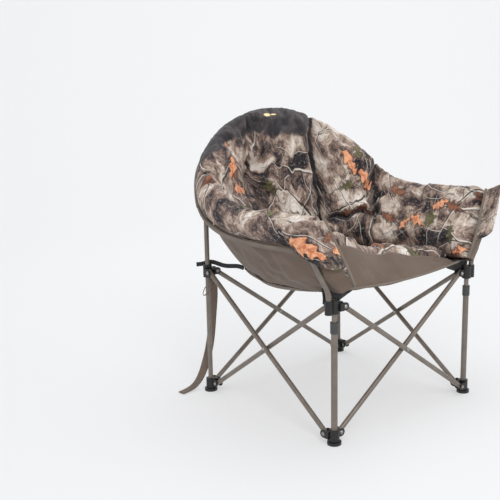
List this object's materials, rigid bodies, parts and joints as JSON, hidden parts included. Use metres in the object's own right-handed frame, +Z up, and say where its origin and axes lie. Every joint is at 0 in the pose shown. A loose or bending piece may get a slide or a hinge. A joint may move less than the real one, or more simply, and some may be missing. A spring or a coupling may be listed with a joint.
{
  "type": "folding padded camp chair",
  "caption": "Folding camp chair with a padded bucket seat slung from four legs and crossing links that close like scissors on all sides.",
  "frame": {"origin": "on the floor, under the middle of the object's box without its carry strap", "axes": "+Z is up, -Y is the way the sitter faces, +X is the sitter's left"},
  "size_m": [0.939, 0.7298, 0.9705],
  "materials": {
    "powder_coat": "satin",
    "black_plastic": "matte",
    "grey_plastic": "matte",
    "rivet_steel": "satin",
    "liner_print": "matte",
    "outer_fabric": "matte",
    "binding_tape": "matte",
    "brown_webbing": "matte",
    "black_webbing": "matte"
  },
  "bodies": {
    "rear_right_leg": {"foot_rear_right": "black_plastic", "foot_rivets_rear_right": "rivet_steel", "leg_rear_right": "powder_coat", "carry_strap": "brown_webbing", "back_pad": "liner_print", "back_shell": "outer_fabric", "wing_pad_right": "liner_print", "wing_pad_left": "liner_print", "binding_back": "binding_tape"},
    "front_right_leg": {"foot_front_right": "black_plastic", "foot_rivets_front_right": "rivet_steel", "leg_front_right": "powder_coat", "collar_front_right": "grey_plastic"},
    "front_left_leg": {"foot_front_left": "black_plastic", "foot_rivets_front_left": "rivet_steel", "leg_front_left": "powder_coat", "collar_front_left": "grey_plastic"},
    "rear_left_leg": {"foot_rear_left": "black_plastic", "foot_rivets_rear_left": "rivet_steel", "leg_rear_left": "powder_coat"},
    "rear_right_hub": {"hub_rear_right": "black_plastic", "hub_rivets_rear_right": "rivet_steel", "corner_webbing_right": "black_webbing"},
    "rear_left_hub": {"hub_rear_left": "black_plastic", "hub_rivets_rear_left": "rivet_steel", "corner_webbing_left": "black_webbing"},
    "front_right_hub": {"hub_front_right": "black_plastic", "hub_rivets_front_right": "rivet_steel", "inner_post_front_right": "powder_coat", "arm_post_front_right": "powder_coat", "gusset_right": "black_webbing", "apron": "outer_fabric"},
    "front_left_hub": {"hub_front_left": "black_plastic", "hub_rivets_front_left": "rivet_steel", "inner_post_front_left": "powder_coat", "arm_post_front_left": "powder_coat", "gusset_left": "black_webbing"},
    "arm_right": {"arm_pad_right": "liner_print", "arm_shell_right": "outer_fabric", "pocket_right": "liner_print"},
    "arm_left": {"arm_pad_left": "liner_print", "arm_shell_left": "outer_fabric", "pocket_left": "liner_print"},
    "seat_front": {"seat_pad_front": "liner_print", "seat_shell_front": "outer_fabric"},
    "seat_rear": {"seat_pad_rear": "liner_print", "seat_shell_rear": "outer_fabric"},
    "inner_link_right": {"link_inner_right": "powder_coat", "crossing_rivet_right": "rivet_steel"},
    "outer_link_right": {"link_outer_right": "powder_coat"},
    "inner_link_front": {"link_inner_front": "powder_coat", "crossing_rivet_front": "rivet_steel"},
    "outer_link_front": {"link_outer_front": "powder_coat"},
    "inner_link_left": {"link_inner_left": "powder_coat", "crossing_rivet_left": "rivet_steel"},
    "outer_link_left": {"link_outer_left": "powder_coat"},
    "inner_link_rear": {"link_inner_rear": "powder_coat", "crossing_rivet_rear": "rivet_steel"},
    "outer_link_rear": {"link_outer_rear": "powder_coat"}
  },
  "joints": [
    {"name": "fold", "type": "hinge", "parent": "rear_right_leg", "child": "inner_link_right", "pos_m": [-0.304, 0.2775, 0.03], "axis": [-1, 0, 0], "range_deg": [0, 50.5], "deforming": ["back_pad", "back_shell", "wing_pad_right", "wing_pad_left", "binding_back", "apron", "corner_webbing_right", "corner_webbing_left", "gusset_right", "gusset_left"]},
    {"name": "cross_right", "type": "hinge", "parent": "inner_link_right", "child": "outer_link_right", "pos_m": [-0.3125, -0.007, 0.23], "axis": [-1, 0, 0], "range_deg": [-101, 0]},
    {"name": "outer_right_to_front_foot", "type": "hinge", "parent": "outer_link_right", "child": "front_right_leg", "pos_m": [-0.321, -0.2915, 0.03], "axis": [-1, 0, 0], "range_deg": [0, 50.5]},
    {"name": "outer_right_to_rear_hub", "type": "hinge", "parent": "outer_link_right", "child": "rear_right_hub", "pos_m": [-0.321, 0.2775, 0.43], "axis": [-1, 0, 0], "range_deg": [0, 50.5]},
    {"name": "inner_right_to_front_hub", "type": "hinge", "parent": "inner_link_right", "child": "front_right_hub", "pos_m": [-0.304, -0.2915, 0.43], "axis": [-1, 0, 0], "range_deg": [-50.5, 0]},
    {"name": "front_right_foot_to_inner_front", "type": "hinge", "parent": "front_right_leg", "child": "inner_link_front", "pos_m": [-0.2845, -0.311, 0.03], "axis": [0, -1, 0], "range_deg": [0, 50.5]},
    {"name": "cross_front", "type": "hinge", "parent": "inner_link_front", "child": "outer_link_front", "pos_m": [0, -0.3195, 0.23], "axis": [0, -1, 0], "range_deg": [-101, 0]},
    {"name": "outer_front_to_left_foot", "type": "hinge", "parent": "outer_link_front", "child": "front_left_leg", "pos_m": [0.2845, -0.328, 0.03], "axis": [0, -1, 0], "range_deg": [0, 50.5]},
    {"name": "inner_front_to_left_hub", "type": "hinge", "parent": "inner_link_front", "child": "front_left_hub", "pos_m": [0.2845, -0.311, 0.43], "axis": [0, -1, 0], "range_deg": [-50.5, 0]},
    {"name": "rear_right_foot_to_outer_rear", "type": "hinge", "parent": "rear_right_leg", "child": "outer_link_rear", "pos_m": [-0.2845, 0.314, 0.03], "axis": [0, -1, 0], "range_deg": [0, 50.5]},
    {"name": "cross_rear", "type": "hinge", "parent": "outer_link_rear", "child": "inner_link_rear", "pos_m": [0, 0.3055, 0.23], "axis": [0, -1, 0], "range_deg": [-101, 0]},
    {"name": "inner_rear_to_left_foot", "type": "hinge", "parent": "inner_link_rear", "child": "rear_left_leg", "pos_m": [0.2845, 0.297, 0.03], "axis": [0, -1, 0], "range_deg": [0, 50.5]},
    {"name": "outer_rear_to_left_hub", "type": "hinge", "parent": "outer_link_rear", "child": "rear_left_hub", "pos_m": [0.2845, 0.314, 0.43], "axis": [0, -1, 0], "range_deg": [-50.5, 0]},
    {"name": "front_left_foot_to_inner_left", "type": "hinge", "parent": "front_left_leg", "child": "inner_link_left", "pos_m": [0.304, -0.2915, 0.03], "axis": [1, 0, 0], "range_deg": [0, 50.5]},
    {"name": "cross_left", "type": "hinge", "parent": "inner_link_left", "child": "outer_link_left", "pos_m": [0.3125, -0.007, 0.23], "axis": [1, 0, 0], "range_deg": [-101, 0]},
    {"name": "right_arm_fabric", "type": "slide", "parent": "rear_right_leg", "child": "arm_right", "axis": [0, 0.8691, 0.4946], "range_m": [0, 0.59338], "deforming": ["arm_pad_right", "arm_shell_right", "pocket_right"]},
    {"name": "left_arm_fabric", "type": "slide", "parent": "rear_left_leg", "child": "arm_left", "axis": [0, 0.8691, 0.4946], "range_m": [0, 0.59338], "deforming": ["arm_pad_left", "arm_shell_left", "pocket_left"]},
    {"name": "seat_front_hang", "type": "hinge", "parent": "front_right_hub", "child": "seat_front", "pos_m": [0, -0.307, 0.455], "axis": [-1, 0, 0], "range_deg": [-78, 0], "deforming": ["seat_pad_front", "seat_shell_front"]},
    {"name": "seat_rear_hang", "type": "hinge", "parent": "rear_right_hub", "child": "seat_rear", "pos_m": [0, 0.218, 0.44], "axis": [-1, 0, 0], "range_deg": [0, 78], "deforming": ["seat_pad_rear", "seat_shell_rear"]}
  ],
  "couplings": [
    {"joint": "cross_right", "follows": "fold", "ratio": -2},
    {"joint": "outer_right_to_front_foot", "follows": "fold", "ratio": 1},
    {"joint": "outer_right_to_rear_hub", "follows": "fold", "ratio": 1},
    {"joint": "inner_right_to_front_hub", "follows": "fold", "ratio": -1},
    {"joint": "front_right_foot_to_inner_front", "follows": "fold", "ratio": 1},
    {"joint": "cross_front", "follows": "fold", "ratio": -2},
    {"joint": "outer_front_to_left_foot", "follows": "fold", "ratio": 1},
    {"joint": "inner_front_to_left_hub", "follows": "fold", "ratio": -1},
    {"joint": "rear_right_foot_to_outer_rear", "follows": "fold", "ratio": 1},
    {"joint": "cross_rear", "follows": "fold", "ratio": -2},
    {"joint": "inner_rear_to_left_foot", "follows": "fold", "ratio": 1},
    {"joint": "outer_rear_to_left_hub", "follows": "fold", "ratio": -1},
    {"joint": "front_left_foot_to_inner_left", "follows": "fold", "ratio": 1},
    {"joint": "cross_left", "follows": "fold", "ratio": -2},
    {"joint": "right_arm_fabric", "follows": "fold", "m_per_rad": 0.67323},
    {"joint": "left_arm_fabric", "follows": "fold", "m_per_rad": 0.67323},
    {"joint": "seat_front_hang", "follows": "fold", "ratio": -1.5446},
    {"joint": "seat_rear_hang", "follows": "fold", "ratio": 1.5446}
  ]
}
